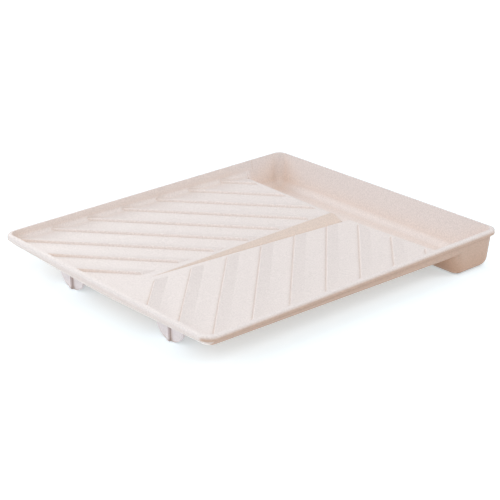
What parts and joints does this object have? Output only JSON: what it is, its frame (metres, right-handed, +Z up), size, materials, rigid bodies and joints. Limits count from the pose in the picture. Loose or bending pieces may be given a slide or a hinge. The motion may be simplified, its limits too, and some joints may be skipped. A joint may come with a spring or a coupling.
{
  "type": "paint roller tray",
  "caption": "Shallow sloping tray with chevron ribs, a centre drain, a well across one end and two stub feet.",
  "frame": {"origin": "on the ground, under the middle of the lip's rectangle", "axes": "+X from the shallow end to the well, +Y to the left of that, +Z up"},
  "size_m": [0.305, 0.272, 0.033],
  "materials": {
    "tray_plastic": "satin",
    "foot_plastic": "satin"
  },
  "bodies": {
    "root": {"tray": "tray_plastic", "foot_left": "foot_plastic", "foot_right": "foot_plastic"}
  },
  "joints": []
}
